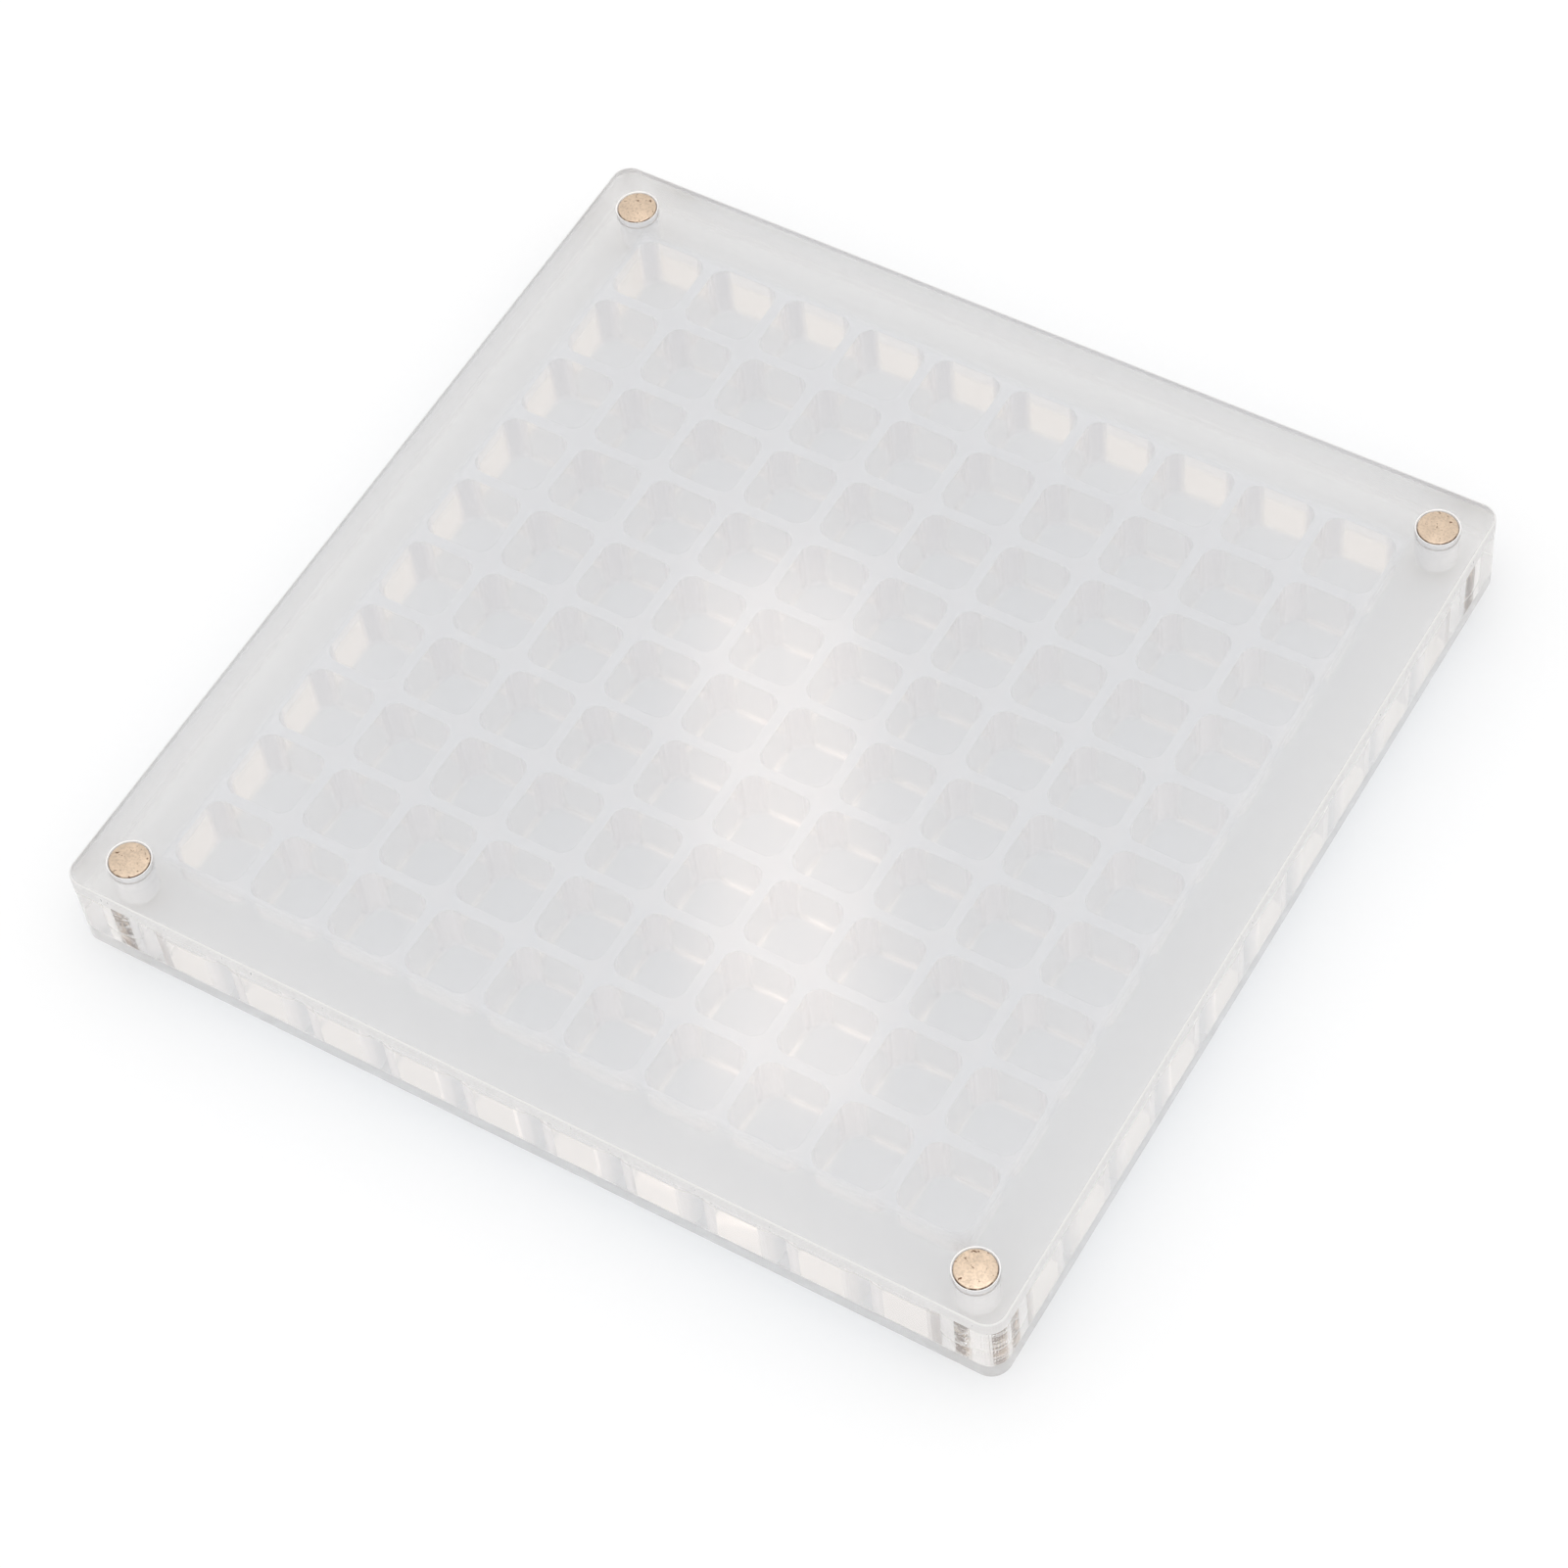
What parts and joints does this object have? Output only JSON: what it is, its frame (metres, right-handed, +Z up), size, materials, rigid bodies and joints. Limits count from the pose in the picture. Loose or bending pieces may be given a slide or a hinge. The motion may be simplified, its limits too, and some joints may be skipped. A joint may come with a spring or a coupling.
{
  "type": "seashell display box",
  "caption": "Flat square clear acrylic case with a grid of small open pockets and a milky lift-off lid held by corner magnets.",
  "frame": {"origin": "centre of the underside of the base plate, on the table", "axes": "+Z up through the lid, +X to the right and -Y to the front of the closed box; the outline is square"},
  "size_m": [0.2, 0.2, 0.019],
  "materials": {
    "clear_acrylic": "polished",
    "milky_acrylic": "satin",
    "magnet_plating": "satin"
  },
  "bodies": {
    "box": {"base_plate": "clear_acrylic", "compartment_grid": "clear_acrylic", "grid_magnet_front_left": "magnet_plating", "grid_magnet_back_left": "magnet_plating", "grid_magnet_front_right": "magnet_plating", "grid_magnet_back_right": "magnet_plating"},
    "lid": {"lid_plate": "milky_acrylic", "lid_magnet_front_left": "magnet_plating", "lid_magnet_back_left": "magnet_plating", "lid_magnet_front_right": "magnet_plating", "lid_magnet_back_right": "magnet_plating"}
  },
  "joints": [
    {"name": "lid_lift", "type": "slide", "parent": "box", "child": "lid", "axis": [0, 0, 1], "range_m": [0, 0.06]}
  ]
}
